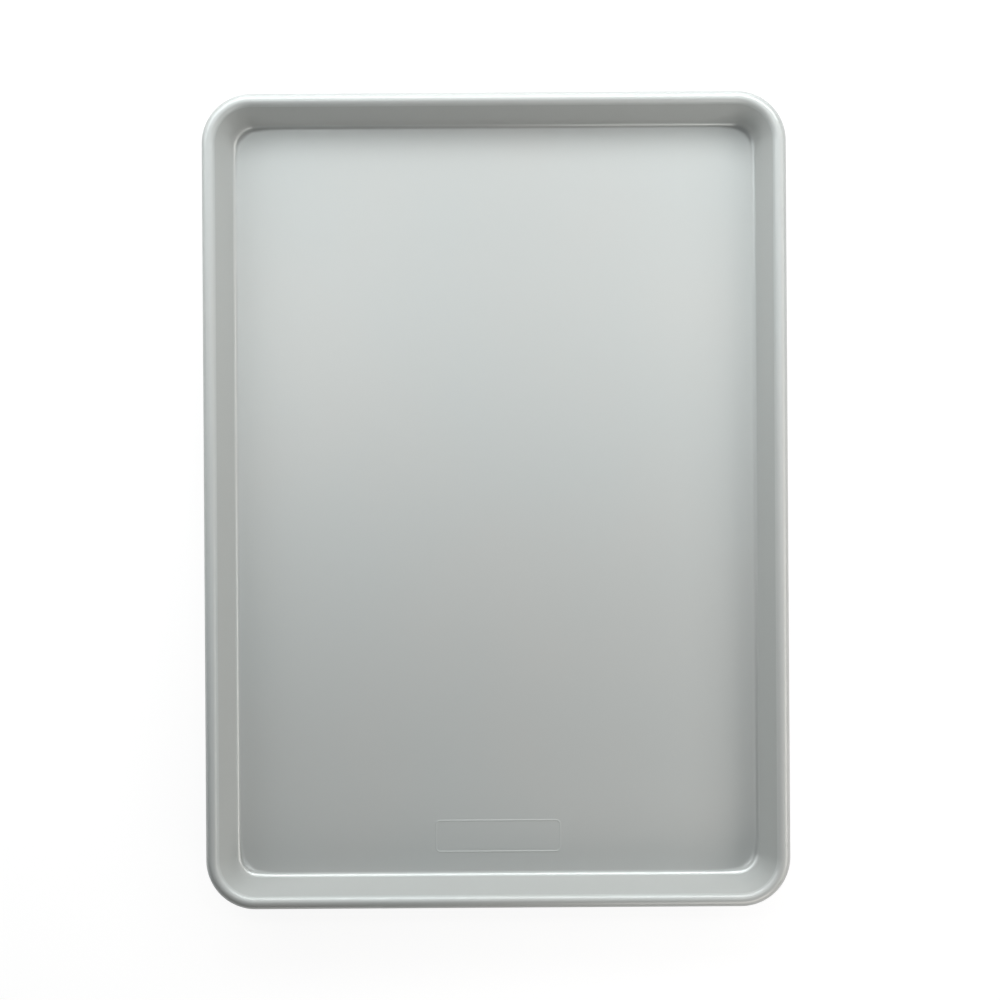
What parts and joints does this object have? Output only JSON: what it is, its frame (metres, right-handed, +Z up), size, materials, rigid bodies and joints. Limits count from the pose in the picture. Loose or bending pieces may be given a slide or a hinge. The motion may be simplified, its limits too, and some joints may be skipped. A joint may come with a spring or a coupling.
{
  "type": "sheet pan",
  "caption": "Shallow rectangular baking tray of drawn aluminium with flared walls, rounded corners and a rim rolled round a steel wire, for carrying and baking food.",
  "frame": {"origin": "on the ground under the middle of the tray, on the underside of its floor", "axes": "+X across the tray, +Y along its length and away from the stamped frame, +Z up out of the tray"},
  "size_m": [0.326, 0.455, 0.0264],
  "materials": {
    "aluminium_sheet": "natural satin, as rolled",
    "galvanised_wire": "zinc coated, dull"
  },
  "bodies": {
    "root": {"pan_shell": "aluminium_sheet", "rim_wire": "galvanised_wire"}
  },
  "joints": []
}
